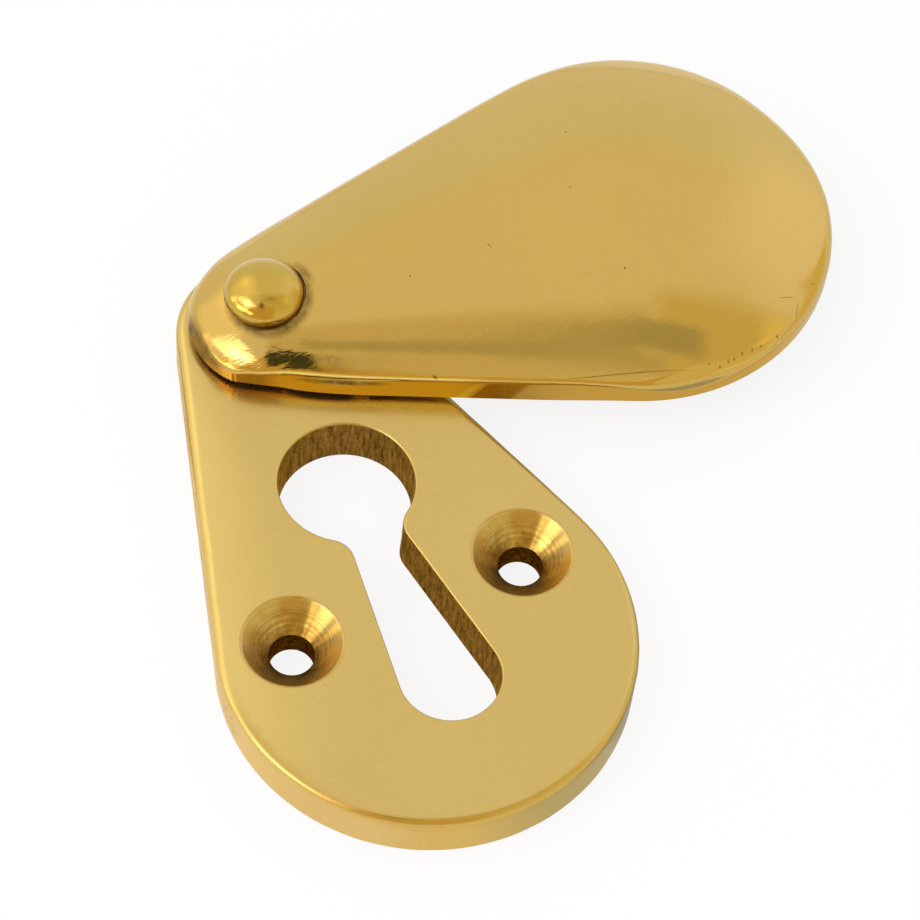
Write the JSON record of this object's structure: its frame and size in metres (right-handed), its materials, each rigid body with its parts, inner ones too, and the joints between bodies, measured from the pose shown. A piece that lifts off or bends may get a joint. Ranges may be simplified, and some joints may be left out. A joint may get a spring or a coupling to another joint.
{
  "type": "covered keyhole escutcheon",
  "caption": "Pear-shaped cast brass keyhole escutcheon with countersunk screw holes and a domed swing cover that turns on a rivet at the plate's narrow end.",
  "frame": {"origin": "midway between the two screw holes, on the plate's back plane", "axes": "+Z out of the door, square to the plate; +Y from the screw holes towards the cover's pivot; +X to the right"},
  "size_m": [0.0689, 0.0646, 0.0124],
  "materials": {
    "plate_brass": "polished",
    "cover_brass": "polished",
    "rivet_brass": "polished"
  },
  "bodies": {
    "plate": {"back_plate": "plate_brass", "pivot_rivet": "rivet_brass"},
    "cover": {"swing_cover": "cover_brass"}
  },
  "joints": [
    {"name": "cover_swing", "type": "hinge", "parent": "plate", "child": "cover", "pos_m": [0, 0.02935, 0.0048], "axis": [0, 0, 1], "continuous": true}
  ]
}
